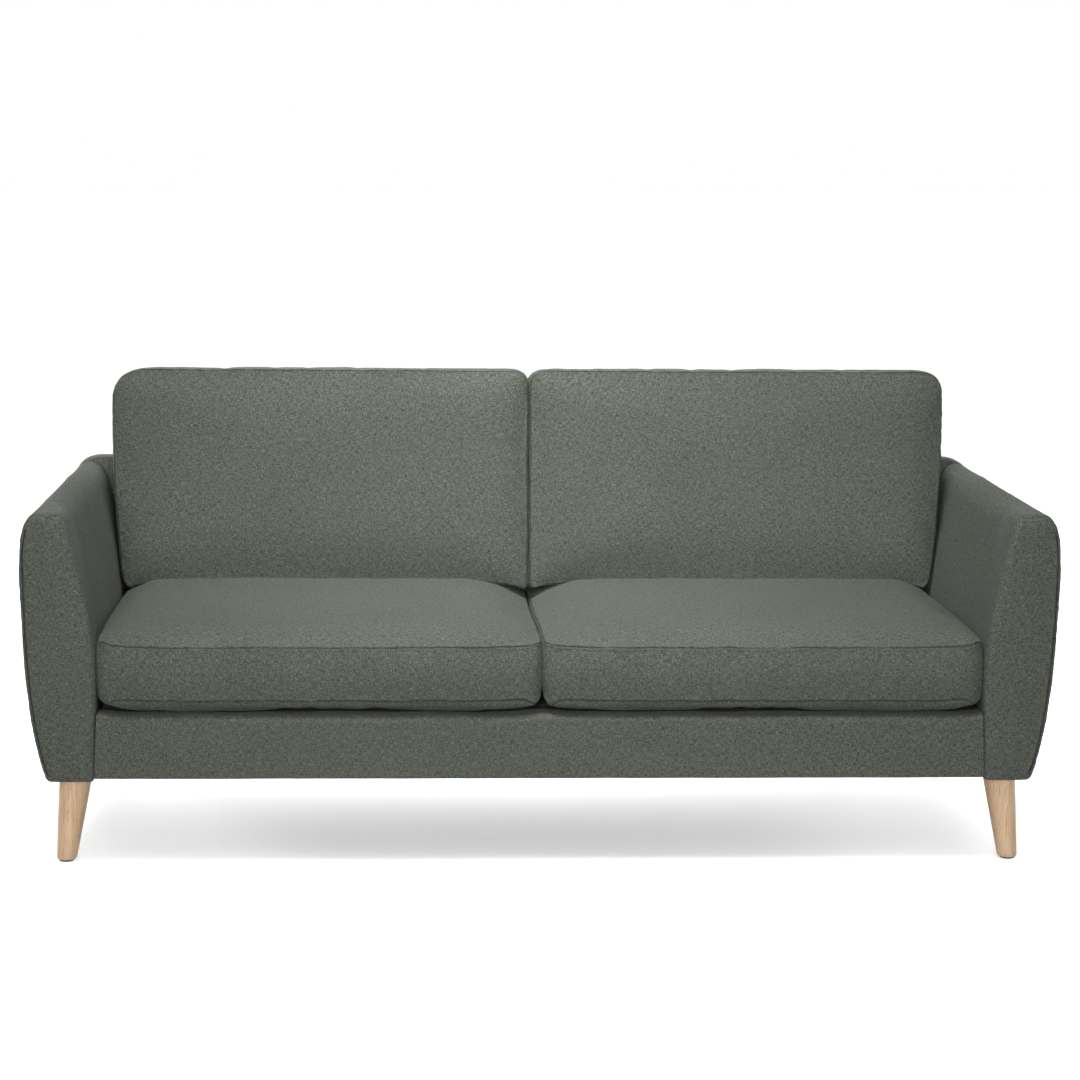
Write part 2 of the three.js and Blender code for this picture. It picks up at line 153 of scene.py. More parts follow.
class Graph:
    """Short names for building one material's nodes."""

    def __init__(self, name):
        self.material = bpy.data.materials.new(name)
        self.material.use_nodes = True
        self.nodes = self.material.node_tree.nodes
        self.links = self.material.node_tree.links
        self.shader = self.nodes["Principled BSDF"]

    def node(self, kind, inputs=None, **settings):
        made = self.nodes.new(kind)
        for key, value in settings.items():
            setattr(made, key, value)
        for key, value in (inputs or {}).items():
            self.feed(made.inputs[key], value)
        return made

    def feed(self, socket, value):
        if isinstance(value, bpy.types.NodeSocket):
            self.links.new(value, socket)
        else:
            socket.default_value = value

    def math(self, operation, a, b=0.0, c=0.0):
        return self.node("ShaderNodeMath", {0: a, 1: b, 2: c}, operation=operation).outputs[0]

    def vector(self, x, y, z=0.0):
        return self.node("ShaderNodeCombineXYZ", {"X": x, "Y": y, "Z": z}).outputs[0]

    def scaled(self, x, y, by_x, by_y, z=0.0):
        return self.vector(self.math("MULTIPLY", x, by_x), self.math("MULTIPLY", y, by_y), z)

    def noise(self, place, scale, detail=2.0, roughness=0.5):
        inputs = {"Vector": place, "Scale": scale, "Detail": detail, "Roughness": roughness}
        return self.node("ShaderNodeTexNoise", inputs).outputs[0]

    def stretched(self, place, scale):
        made = self.node("ShaderNodeMapping", {"Vector": place})
        made.inputs["Scale"].default_value = scale
        return made.outputs[0]

    def ramp(self, value, stops):
        made = self.node("ShaderNodeValToRGB", {"Fac": value})
        elements = made.color_ramp.elements
        while len(elements) < len(stops):
            elements.new(0.5)
        for element, (place, colour) in zip(elements, stops):
            element.position = place
            element.color = (*colour, 1)
        return made.outputs["Color"]

    def mix(self, share, a, b, blend="MIX"):
        made = self.node("ShaderNodeMix", data_type="RGBA", blend_type=blend)
        for index, value in ((0, share), (6, a), (7, b)):
            if isinstance(value, tuple) and len(value) == 3:
                value = (*value, 1)
            self.feed(made.inputs[index], value)
        return made.outputs[2]

    def float_mix(self, share, a, b):
        return self.node("ShaderNodeMix", {0: share, 2: a, 3: b}, data_type="FLOAT").outputs[0]

    def bump(self, height, strength, distance, under=None):
        inputs = {"Height": height, "Strength": strength, "Distance": distance}
        if under is not None:
            inputs["Normal"] = under
        return self.node("ShaderNodeBump", inputs).outputs["Normal"]

    def object_place(self):
        return self.node("ShaderNodeTexCoord").outputs["Object"]

    def along_cloth(self, unwrapped):
        """Metres across and along a cloth: its weave UVs, or x and z of a frame node that has no UVs."""
        if unwrapped:
            weave = self.node("ShaderNodeUVMap", uv_map="weave").outputs[0]
            split = self.node("ShaderNodeSeparateXYZ", {0: weave})
            return split.outputs[0], split.outputs[1]
        split = self.node("ShaderNodeSeparateXYZ", {0: self.object_place()})
        return split.outputs[0], split.outputs[2]

    def finish(self, colour, roughness, normal=None, **constants):
        self.feed(self.shader.inputs["Base Color"], colour)
        self.feed(self.shader.inputs["Roughness"], roughness)
        if normal is not None:
            self.feed(self.shader.inputs["Normal"], normal)
        for name, value in constants.items():
            self.shader.inputs[name.replace("_", " ")].default_value = value
        return self.material


def floor_material():
    g = Graph("floor")
    tone = g.ramp(g.noise(g.object_place(), 0.6), [(0.3, (0.88, 0.88, 0.88)), (0.7, (0.91, 0.91, 0.91))])
    return g.finish(tone, 0.6)


def thread_crown(g, side):
    """1 along the middle of each thread and 0 between threads, from a place counted in threads."""
    from_middle = g.math("SUBTRACT", g.math("FRACT", side), 0.5)
    return g.math("COSINE", g.math("MULTIPLY", from_middle, math.pi))


def woven(name, pitch, dark, middle, light, streak, bump, sheen, unwrapped=True):
    """A plain weave: each thread changes tone along its length."""
    g = Graph(name)
    u, v = (g.math("MULTIPLY", side, 1 / pitch) for side in g.along_cloth(unwrapped))
    # The threads wander a little, so u and v count them along wavy lines.
    wander = g.noise(g.vector(u, v), 0.09, 1.0)
    u = g.math("ADD", u, g.math("MULTIPLY", wander, 0.9))
    v = g.math("ADD", v, g.math("MULTIPLY", g.noise(g.vector(v, u), 0.11, 1.0), 0.9))
    column, row = g.math("FLOOR", u), g.math("FLOOR", v)
    weft_over = g.math("FLOORED_MODULO", g.math("ADD", column, row), 2.0)
    crown_u, crown_v = thread_crown(g, u), thread_crown(g, v)
    warp_height = g.math("MULTIPLY", crown_u, g.math("MULTIPLY_ADD", crown_v, 0.45, 0.55))
    weft_height = g.math("MULTIPLY", crown_v, g.math("MULTIPLY_ADD", crown_u, 0.45, 0.55))
    height = g.float_mix(weft_over, warp_height, weft_height)
    warp_tone = g.noise(g.scaled(column, v, 5.3, 0.4), 1.0, 1.5, 0.7)
    weft_tone = g.noise(g.scaled(u, row, 0.4, 7.1, 9.0), 1.0, 1.5, 0.7)
    tone = g.float_mix(weft_over, warp_tone, weft_tone)
    yarn = g.ramp(tone, [(0.28, dark), (0.46, middle), (0.56, middle), (0.76, light)])
    # Painted shade: the yarn is darkened between threads, where the crossing threads would shade it.
    painted_shade = g.ramp(height, [(0.0, (0.45, 0.45, 0.45)), (0.55, (1.0, 1.0, 1.0))])
    colour = g.mix(1.0, yarn, painted_shade, "MULTIPLY")
    # Thick and thin yarn shows as short streaks both ways, longer than one crossing.
    warp_streak = g.noise(g.scaled(u, v, 1.05, 0.2, 3.0), 1.0, 2.0, 0.6)
    weft_streak = g.noise(g.scaled(u, v, 0.2, 1.05, 6.0), 1.0, 2.0, 0.6)
    streaks = g.math("MULTIPLY", g.math("ADD", warp_streak, weft_streak), 0.5)
    low, high = (1 - streak,) * 3, (1 + streak,) * 3
    colour = g.mix(1.0, colour, g.ramp(streaks, [(0.34, low), (0.66, high)]), "MULTIPLY")
    clouds = g.noise(g.object_place(), 5.0, 3.0)
    cloud = g.ramp(clouds, [(0.3, (0.95, 0.96, 0.94)), (0.7, (1.04, 1.03, 1.04))])
    colour = g.mix(1.0, colour, cloud, "MULTIPLY")
    # Painted shade: along sewn seams the cloth is mixed towards near black, standing in for the shade in the
    # groove.
    painted_seam_shade = g.node("ShaderNodeAttribute", attribute_name="painted_seam_shade").outputs["Fac"]
    colour = g.mix(g.math("MULTIPLY", painted_seam_shade, 0.88), colour, (0.012, 0.013, 0.011))
    hair = g.noise(g.vector(u, v), 2.6, 3.0, 0.7)
    normal = g.bump(g.math("MULTIPLY_ADD", hair, 0.5, height), bump, pitch * 0.35)
    return g.finish(
        colour,
        0.92,
        normal,
        Sheen_Weight=sheen,
        Sheen_Roughness=0.4,
        Sheen_Tint=(0.8, 0.87, 0.78, 1),
        Specular_IOR_Level=0.2,
    )


def oak_material():
    g = Graph("leg_oak")
    place = g.object_place()
    bands = g.noise(g.stretched(place, (26, 26, 2.2)), 1.0, 4.0, 0.55)
    streaks = g.noise(g.stretched(place, (240, 240, 7)), 1.0, 5.0, 0.65)
    pores = g.noise(g.stretched(place, (900, 900, 28)), 1.0, 2.0, 0.6)
    dark, middle, pale = (0.65, 0.42, 0.235), (0.78, 0.54, 0.33), (0.85, 0.62, 0.41)
    colour = g.ramp(bands, [(0.30, dark), (0.5, middle), (0.7, pale)])
    deep, plain_tone, bright = (0.74, 0.68, 0.62), (1.0, 1.0, 1.0), (1.06, 1.06, 1.05)
    streak = g.ramp(streaks, [(0.32, deep), (0.52, plain_tone), (0.75, bright)])
    pore = g.ramp(pores, [(0.30, (0.62, 0.52, 0.43)), (0.42, (1.0, 1.0, 1.0))])
    colour = g.mix(1.0, g.mix(0.8, colour, streak, "MULTIPLY"), pore, "MULTIPLY")
    normal = g.bump(g.math("ADD", streaks, pores), 0.25, 0.0004)
    roughness = g.math("MULTIPLY_ADD", streaks, 0.18, 0.36)
    return g.finish(colour, roughness, normal, Coat_Weight=0.12, Coat_Roughness=0.3, Specular_IOR_Level=0.4)


def timber_material(name, pale, dark, stretch):
    g = Graph(name)
    place = g.object_place()
    grain = g.noise(g.stretched(place, stretch), 1.0, 5.0, 0.6)
    fine = g.noise(g.stretched(place, tuple(9 * s for s in stretch)), 1.0, 3.0, 0.6)
    colour = g.ramp(grain, [(0.3, dark), (0.62, pale)])
    colour = g.mix(0.35, colour, g.ramp(fine, [(0.35, dark), (0.6, pale)]))
    return g.finish(colour, 0.7, g.bump(fine, 0.3, 0.0005))


def steel_material():
    g = Graph("zinc")
    place = g.object_place()
    spangle = g.noise(place, 260.0, 3.0)
    scratches = g.noise(g.stretched(place, (40, 900, 900)), 1.0, 3.0)
    colour = g.ramp(spangle, [(0.3, (0.42, 0.43, 0.45)), (0.7, (0.62, 0.63, 0.65))])
    roughness = g.math("MULTIPLY_ADD", scratches, 0.3, 0.22)
    return g.finish(colour, roughness, g.bump(spangle, 0.15, 0.0002), Metallic=1.0)


def felt_material():
    g = Graph("felt")
    fibres = g.noise(g.object_place(), 900.0, 4.0, 0.7)
    colour = g.ramp(fibres, [(0.3, (0.05, 0.045, 0.04)), (0.7, (0.12, 0.11, 0.1))])
    return g.finish(colour, 0.95, g.bump(fibres, 0.6, 0.0006), Sheen_Weight=0.3)


def nylon_material():
    g = Graph("zip_nylon")
    ribs = g.noise(g.stretched(g.object_place(), (900, 300, 900)), 1.0, 3.0)
    colour = g.ramp(ribs, [(0.3, (0.035, 0.04, 0.034)), (0.7, (0.075, 0.082, 0.07))])
    return g.finish(colour, g.math("MULTIPLY_ADD", ribs, 0.25, 0.3), g.bump(ribs, 0.3, 0.0002))


def foam_material():
    g = Graph("foam")
    cells = g.node("ShaderNodeTexVoronoi", {"Vector": g.object_place(), "Scale": 700.0}).outputs["Distance"]
    colour = g.ramp(cells, [(0.0, (0.45, 0.38, 0.24)), (0.5, (0.76, 0.68, 0.47))])
    return g.finish(colour, 0.9, g.bump(cells, 0.5, 0.0008))


def make_materials():
    # Dark, middle and light yarn, then how strong the streaks, the bump and the sheen are
    cloth = ((0.040, 0.045, 0.036), (0.122, 0.133, 0.112), (0.24, 0.256, 0.219), 0.64, 0.5, 0.07)
    black = ((0.006, 0.006, 0.007), (0.012, 0.012, 0.013), (0.03, 0.03, 0.031), 0.1, 0.4, 0.05)
    strap = ((0.02, 0.02, 0.022), (0.05, 0.05, 0.055), (0.16, 0.15, 0.14), 0.1, 0.7, 0.05)
    return {
        "fabric": woven("mottled_weave", 0.0017, *cloth),
        "lining": woven("black_lining", 0.0008, *black),
        "webbing": woven("zip_tape", 0.0012, *strap),
        "frame_webbing": woven("elastic_webbing", 0.0024, *strap, unwrapped=False),
        "foam": foam_material(),
        "leg_wood": oak_material(),
        "softwood": timber_material("pine", (0.66, 0.47, 0.27), (0.42, 0.26, 0.12), (4, 60, 60)),
        "plywood": timber_material("plywood", (0.62, 0.46, 0.28), (0.36, 0.24, 0.13), (60, 5, 60)),
        "steel": steel_material(),
        "felt": felt_material(),
        "teeth": nylon_material(),
    }


# ---- mesh work


def ripples(points, wavelength, seed, waves=12):
    """Smooth random heights of about -1 to 1, a sum of plane waves in random directions."""
    random = np.random.default_rng(seed)
    total = np.zeros(len(points))
    for _ in range(waves):
        direction = random.normal(size=3)
        direction *= 2 * math.pi / (np.linalg.norm(direction) * wavelength * random.uniform(0.7, 1.5))
        total += np.sin(points @ direction + random.uniform(0, 2 * math.pi))
    return total / math.sqrt(waves)


def piece(name, points, faces, material_slot):
    mesh = bpy.data.meshes.new(name)
    mesh.from_pydata(np.asarray(points, float).tolist(), [], faces)
    mesh.materials.append(MATERIALS[material_slot])
    mesh.update()
    made = bpy.data.objects.new(name, mesh)
    bpy.context.scene.collection.objects.link(made)
    return made


def read(made, kind="co"):
    values = np.empty(len(made.data.vertices) * 3, np.float32)
    source = made.data.vertices if kind == "co" else made.data.vertex_normals
    source.foreach_get("co" if kind == "co" else "vector", values)
    return values.reshape(-1, 3).astype(float)


def write(made, points):
    made.data.vertices.foreach_set("co", np.asarray(points, np.float32).ravel())
    made.data.update()


def apply_modifiers(made):
    graph = bpy.context.evaluated_depsgraph_get()
    mesh = bpy.data.meshes.new_from_object(made.evaluated_get(graph))
    made.modifiers.clear()
    made.data = mesh


def refine(made, levels=1):
    modifier = made.modifiers.new("refine", "SUBSURF")
    modifier.levels = modifier.render_levels = levels
    apply_modifiers(made)


def finish_piece(made, body, nodes=()):
    """Weave UVs, smooth shading, and what the frame has to know."""
    mesh = made.data
    mesh.shade_smooth()
    lengths = np.empty(len(mesh.polygons), np.int32)
    mesh.polygons.foreach_get("loop_total", lengths)
    normals = np.empty(len(mesh.polygons) * 3, np.float32)
    mesh.polygons.foreach_get("normal", normals)
    facing = np.repeat(np.abs(normals.reshape(-1, 3)).argmax(1), lengths)
    corners = np.empty(len(mesh.loops), np.int32)
    mesh.loops.foreach_get("vertex_index", corners)
    place = read(made)[corners]
    across = np.where(facing == 0, place[:, 1], place[:, 0])
    along = np.where(facing == 2, place[:, 1], place[:, 2])
    layer = mesh.uv_layers.get("weave") or mesh.uv_layers.new(name="weave")
    layer.data.foreach_set("uv", np.stack([across, along], 1).astype(np.float32).ravel())
    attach(made, body)
    if nodes:
        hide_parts(*nodes)
    return made


def mirrored(points):
    return np.asarray(points) * (-1, 1, 1)


def placed(name, points, faces, sign, slot):
    """A piece built on the right, or its mirror image on the left."""
    if sign < 0:
        return piece(name, mirrored(points), [face[::-1] for face in faces], slot)
    return piece(name, points, faces, slot)


def bezier(a, b, c, d, count):
    t = np.linspace(0, 1, count, endpoint=False)[:, None]
    a, b, c, d = (np.array(p, float) for p in (a, b, c, d))
    return a * (1 - t) ** 3 + 3 * b * t * (1 - t) ** 2 + 3 * c * t * t * (1 - t) + d * t**3


def straight(a, d, count):
    a, d = np.array(a, float), np.array(d, float)
    return bezier(a, a + (d - a) / 3, a + (d - a) * 2 / 3, d, count)


def bend(a, corner, d, count):
    a, corner, d = (np.array(p, float) for p in (a, corner, d))
    return bezier(a, a + (corner - a) * 2 / 3, d + (corner - d) * 2 / 3, d, count)


def tube_faces(rings, count):
    """Faces between closed rings of count points each.

    They face out if the rings turn anticlockwise as they go back.
    """
    faces = []
    for ring in range(rings - 1):
        for i in range(count):
            a, b = ring * count + i, ring * count + (i + 1) % count
            faces.append((a, a + count, b + count, b))
    return faces


def weld(made, distance=1e-5):
    """Joins what a cap has brought together on its spine, and leaves no empty face."""
    modifier = made.modifiers.new("weld", "WELD")
    modifier.merge_threshold = distance
    apply_modifiers(made)
    made.data.validate()


def press_seams(made, lines, depth=0.002, width=0.0012, painted_shade=1.0, seed=1):
    """Sinks a stitched groove along each line of points, with a low lip on both sides and small puckers, and
    stores painted shade along it for the fabric's colour.
    """
    samples = np.concatenate([resample(line, 0.001) for line in lines])
    tree = kdtree.KDTree(len(samples))
    for index, sample in enumerate(samples):
        tree.insert(sample, index)
    tree.balance()
    points, normals = read(made), read(made, "normal")
    away = np.array([tree.find(point)[2] for point in points])
    near = away < 0.03
    pucker = ripples(points, 0.016, seed) * 0.0005 * np.exp(-((away / 0.012) ** 2))
    sink = depth * np.exp(-((away / width) ** 2))
    lip = 0.4 * depth * np.exp(-(((away - 3.2 * width) / (2.2 * width)) ** 2))
    points[near] += normals[near] * (pucker + lip - sink)[near, None]
    write(made, points)
    # Painted shade: darkest on each sewn line and fading within a few millimetres, for the fabric to darken
    # the groove.
    seams = made.data.attributes.get("painted_seam_shade") or made.data.attributes.new("painted_seam_shade", "FLOAT", "POINT")
    dark = np.empty(len(points), np.float32)
    seams.data.foreach_get("value", dark)
    dark = np.maximum(dark, painted_shade * np.exp(-((away / (1.3 * width)) ** 2)))
    seams.data.foreach_set("value", dark.astype(np.float32))


def resample(line, spacing):
    line = np.asarray(line, float)
    steps = np.linalg.norm(np.diff(line, axis=0), axis=1)
    far = np.concatenate([[0], np.cumsum(steps)])
    count = max(2, int(far[-1] / spacing))
    wanted = np.linspace(0, far[-1], count)
    return np.stack([np.interp(wanted, far, line[:, axis]) for axis in range(3)], 1)


# ---- legs


def leg(place, sign):
    node = f"leg_{place}_{'right' if sign > 0 else 'left'}"
    low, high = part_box(node)
    front = place == "front"
    top_radius, foot_radius, sides, glide = 0.030, 0.017, 64, 0.003
    inner, outer = (low.x, high.x) if sign > 0 else (-high.x, -low.x)
    top_y, foot_y = high.y - top_radius, low.y + foot_radius
    if not front:
        top_y, foot_y = low.y + top_radius, high.y - foot_radius
    top = np.array([inner + top_radius, top_y])
    foot = np.array([outer - foot_radius + 0.001, foot_y])
    # The foot's edge is rounded over the first few millimetres above the glide.
    heights = [glide, glide + 0.0006, glide + 0.0018, glide + 0.0035]
    heights += [0.02, 0.045, 0.07, 0.1, 0.13, 0.152, high.z]
    inset = [0.0035, 0.0016, 0.0005] + [0] * 8
    angles = np.linspace(0, 2 * math.pi, sides, endpoint=False)
    points = []
    for z, pull in zip(heights, inset):
        share = z / high.z
        centre = foot + (top - foot) * share
        taper = share + 0.12 * share * (1 - share)
        radius = foot_radius + 0.001 + (top_radius - foot_radius) * taper - pull
        points += [(centre[0] + radius * math.cos(a), centre[1] + radius * math.sin(a), z) for a in angles]
    faces = [face[::-1] for face in tube_faces(len(heights), sides)]
    last = (len(heights) - 1) * sides
    faces += [tuple(range(sides))[::-1], tuple(range(last, last + sides))]
    made = placed(node + "_turned", points, faces, sign, "leg_wood")
    finish_piece(made, "root", [node])
    glide_radius = foot_radius - 0.003
    rings = [(0.0, glide_radius - 0.0012), (0.0007, glide_radius), (glide - 0.0002, glide_radius)]
    disc = [(foot[0] + r * math.cos(a), foot[1] + r * math.sin(a), z) for z, r in rings for a in angles]
    faces = [face[::-1] for face in tube_faces(len(rings), sides)]
    faces += [tuple(range(sides))[::-1], tuple(range(2 * sides, 3 * sides))]
    finish_piece(placed(f"felt_glide_{node[4:]}", disc, faces, sign, "felt"), "root")


# ---- arms


def back_face(z):
    """y of the back's leaning front face."""
    return BACK_LOW.y + max(z - BACK_BREAK, 0) * math.tan(RECLINE)


def arm_outline(dish, soft):
    """The arm's (x, z) outline from the front, anticlockwise from its inner foot.

    soft rounds the inner top edge.
    """
    out, top, foot = ARM_HIGH.x - 0.001, ARM_HIGH.z, ARM_LOW.z - 0.003
    edge = (0.8725 + dish - soft * 0.25, top - 0.013 - soft * 1.1)
    pieces = [
        bend((0.827 + dish, foot + 0.003), (0.827 + dish, foot), (0.831 + dish, foot), 4),
        straight((0.831 + dish, foot), (out - 0.057, foot), 14),
        bend((out - 0.057, foot), (out - 0.048, foot), (out - 0.044, foot + 0.009), 8),
        bezier((out - 0.044, foot + 0.009), (out - 0.011, 0.25), (out - 0.002, 0.42), (out, WIDEST), 72),
        bezier((out, WIDEST), (out, top - 0.032), (out - 0.012, top), (out - 0.036, top), 30),
        straight((out - 0.036, top), (0.886 + dish + soft, top), 10),
        bend((0.886 + dish + soft, top), (0.877 + dish, top), edge, 22),
        bezier(edge, (0.852 + dish, WIDEST), (0.820 + dish, 0.45), (0.822 + dish, 0.33), 56),
        bezier(
            (0.822 + dish, 0.33),
            (0.821 + dish, 0.28),
            (0.826 + dish, 0.22),
            (0.827 + dish, foot + 0.003),
            28,
        ),
    ]
    return np.concatenate(pieces)


# Places in the outline: where the seam runs up the outer side and over the top edge, and the inner face
ARM_SEAM_FROM = 26
ARM_SEAM_TO = 113
ARM_INNER_FACE = slice(-88, None)


def arm_edge(outline):
    """How softly the arm's front turns into its sides: firm outside, soft inside and over the top."""
    x, z = outline.T
    radius = np.where(x > 0.895, 0.008, 0.014)
    radius = radius + 0.013 * np.clip((z - ARM_HIGH.z + 0.05) / 0.05, 0, 1)
    radius = np.where(z < ARM_LOW.z + 0.015, 0.003, radius)
    return np.convolve(np.concatenate([radius[-8:], radius, radius[:8]]), np.ones(17) / 17, "valid")


def rolled(radius, inset):
    """How far back a rounded edge lies, this far in from the side."""
    return radius - np.sqrt(np.clip(radius**2 - np.clip(radius - inset, 0, None) ** 2, 0, None))


# How far in from the outline the front's rings lie, closest together round the seam
ARM_INSETS = [1, 0.045, 0.032, 0.023, 0.0165, 0.0125, 0.0102, 0.0088, 0.0077, 0.0068]
ARM_INSETS += [0.0060, 0.0050, 0.0038, 0.0026, 0.0015, 0.0006, 0]
ARM_SEAM_INSET = 0.0072


def arm_front(lip, inward, to_spine, edge, front):
    """The leaf-shaped front: rings from its spine out to the arm's outline, dished a little."""
    rings = []
    for inset in ARM_INSETS:
        inset = np.minimum(inset, to_spine[:, 0])
        flat = lip + inward * inset[:, None]
        y = front + rolled(edge, inset) - 0.003 * np.clip((inset - edge) / 0.04, 0, 1) ** 0.7
        rings.append(np.stack([flat[:, 0], y, flat[:, 1]], 1))
    return rings


def arm_length(inward, edge, front):
    """Rings from the front to the back unit, where the inner face falls back behind the lip."""
    near, along, far = np.linspace(0.004, 0.06, 10), np.linspace(0.07, 0.98, 84), [0.99, 0.996, 1.0]
    rings = []
    for share in np.concatenate([near, along, far]):
        set_back = np.clip((share - 0.02) / 0.2, 0, 1)
        ease = set_back * set_back * (3 - 2 * set_back)
        outline = arm_outline(ARM_DISH * ease, LIP_SOFT + MORE_SOFT * ease)
        tuck = 0.009 * np.clip((share - 0.98) / 0.02, 0, 1) ** 2
        outline = outline + inward * tuck
        end = np.array([back_face(z) for z in outline[:, 1]]) + 0.002
        y = front + edge + share * (end - front - edge)
        rings.append(np.stack([outline[:, 0], y, outline[:, 1]], 1))
    return rings


def arm_seam(lip, inward, edge, front):
    """Up the front's outer edge, then back along the arm's top."""
    sewn = slice(ARM_SEAM_FROM, ARM_SEAM_TO)
    up = lip[sewn] + inward[sewn] * ARM_SEAM_INSET
    up = np.stack([up[:, 0], front + rolled(edge[sewn], ARM_SEAM_INSET), up[:, 1]], 1)
    x, z = lip[ARM_SEAM_TO]
    over = [(x, y, z) for y in np.linspace(front + 0.03, back_face(z), 20)]
    return np.concatenate([up, over])


def arm(side, sign):
    low, high = ARM_LOW, ARM_HIGH
    lip = arm_outline(0, LIP_SOFT)
    spine_x = np.interp(lip[:, 1], [low.z, 0.4, high.z], [0.868, 0.89, 0.905])
    spine = np.stack([spine_x, np.clip(lip[:, 1], low.z + 0.045, high.z - 0.05)], 1)
    to_spine = np.linalg.norm(spine - lip, axis=1, keepdims=True)
    inward = (spine - lip) / to_spine
    edge = arm_edge(lip)
    front = low.y + 0.002
    rings = arm_front(lip, inward, to_spine, edge, front) + arm_length(inward, edge, front)
    closing_y = np.array([back_face(z) for z in spine[:, 1]]) + 0.002
    closing = np.stack([spine[:, 0], closing_y, spine[:, 1]], 1)
    points = np.concatenate([*rings, closing])
    drape = 0.0009 * ripples(points, 0.13, 5) + 0.0004 * ripples(points, 0.05, 6)
    points = points + np.stack([drape * 0.6, drape * 0.4, drape * 0.5], 1)
    points[-len(closing):] = closing
    faces = tube_faces(len(rings) + 1, len(lip))
    made = placed(f"arm_upholstery_{side}", points, faces, sign, "fabric")
    weld(made)
    refine(made)
    press_seams(made, [arm_seam(lip, inward, edge, front) * (sign, 1, 1)], seed=7)
    finish_piece(made, "root", ["arm_cover_" + side])


# ---- back


def back_half_width(z):
    """The back's outer edge, the same curve as the arms'."""
    foot, out, top = BACK_LOW.z, BACK_HIGH.x, BACK_HIGH.z
    curve = np.concatenate([
        bezier(
            (out - 0.068, foot),
            (out - 0.056, foot),
            (out - 0.053, foot + 0.004),
            (out - 0.051, foot + 0.012),
            12,
        ),
        bezier((out - 0.051, foot + 0.012), (out - 0.018, 0.25), (out, 0.42), (out, WIDEST), 60),
        bezier((out, WIDEST), (out, top - 0.036), (out - 0.012, top), (out - 0.040, top), 60),
        [(out - 0.040, top)],
    ])
    return np.interp(z, curve[:, 1], curve[:, 0])


def back_section():
    """The back's (y, z) section, anticlockwise seen from the left, from the front foot."""
    front, rear, top, foot = BACK_LOW.y, BACK_HIGH.y, BACK_HIGH.z, BACK_LOW.z
    lean_top = back_face(top)
    top_round = 0.024
    below_top = (back_face(top - top_round), top - top_round)
    return np.concatenate([
        bend((front, foot + 0.008), (front, foot), (front + 0.008, foot), 6),
        straight((front + 0.008, foot), (rear - 0.010, foot), 16),
        bend((rear - 0.010, foot), (rear, foot), (rear, foot + 0.010), 8),
        straight((rear, foot + 0.010), (rear, top - top_round), 60),
        bend((rear, top - top_round), (rear, top), (rear - top_round, top), 18),
        straight((rear - top_round, top), (lean_top + top_round, top), 6),
        bend((lean_top + top_round, top), (lean_top, top), below_top, 18),
        straight(below_top, (front, BACK_BREAK), 40),
        straight((front, BACK_BREAK), (front, foot + 0.008), 12),
    ])


def back_rings(low, high):
    """Rings across the back from the left, closed at each end on a spine inside the section."""
    section = back_section()
    middle_y = np.interp(section[:, 1], [low.z, BACK_BREAK, high.z], [0.358, 0.358, 0.386])
    middle_z = np.clip(section[:, 1], low.z + 0.05, high.z - 0.04)
    inward = np.stack([middle_y, middle_z], 1) - section
    length = np.linalg.norm(inward, axis=1, keepdims=True)
    inward = inward / length
    width = back_half_width(section[:, 1])
    radius = 0.020

    def end(side, pull, inset):
        flat = section + inward * (length if inset is None else inset)
        return np.stack([side * (back_half_width(flat[:, 1]) - pull), flat[:, 0], flat[:, 1]], 1)

    caps = [(0.0, None), (0.0, 0.045), (0.0, 0.032), (0.0, radius)]
    caps += [(radius * (1 - math.cos(a)), radius * (1 - math.sin(a))) for a in np.linspace(0.25, 1.35, 6)]
    rings = [end(-1, *cap) for cap in caps]
    for share in np.linspace(-1, 1, 170):
        rings.append(np.stack([(width - radius) * share, section[:, 0], section[:, 1]], 1))
    return rings + [end(1, *cap) for cap in caps[::-1]]


def back_seam(low, high):
    """Round the back panel: up one side, across below the top edge and down the other side."""
    z = np.linspace(low.z + 0.012, high.z - 0.045, 40)
    down = np.stack([back_half_width(z) - 0.016, np.full(len(z), high.y - 0.001), z], 1)
    side_x, _, side_z = down[-1]
    top_z, top_half = high.z - 0.016, 0.9
    across = np.array([(x, high.y - 0.004, top_z) for x in np.linspace(top_half, -top_half, 90)])
    corner = bend((side_x, 0, side_z), (side_x + 0.002, 0, top_z), (top_half, 0, top_z), 12)
    corner[:, 1] = high.y - 0.003
    return np.concatenate([down, corner, across, corner[::-1] * (-1, 1, 1), down[::-1] * (-1, 1, 1)])


def back_cover():
    low, high = BACK_LOW, BACK_HIGH
    rings = back_rings(low, high)
    points = np.concatenate(rings)
    drape = 0.0010 * ripples(points, 0.2, 15) + 0.0005 * ripples(points, 0.06, 16)
    # The rear panel is a little fuller in its middle.
    behind = np.clip((points[:, 1] - 0.40) / 0.02, 0, 1)
    middle = (1 - (points[:, 0] / 0.95) ** 2) * (1 - ((points[:, 2] - 0.41) / 0.25) ** 2)
    points[:, 1] += drape + 0.0035 * behind * np.clip(middle, 0, 1)
    made = piece("back_upholstery", points, tube_faces(len(rings), len(rings[0])), "fabric")
    weld(made)
    refine(made)
    press_seams(made, [back_seam(low, high)], seed=17)
    finish_piece(made, "root", ["back_cover"])


# ---- seat front, deck and dust cover


def rail_end(z):
    """x of the arm's inner face, where the rail stops."""
    face = arm_outline(0, LIP_SOFT)[ARM_INNER_FACE]
    return np.interp(z, face[::-1, 1], face[::-1, 0]) - 0.0006


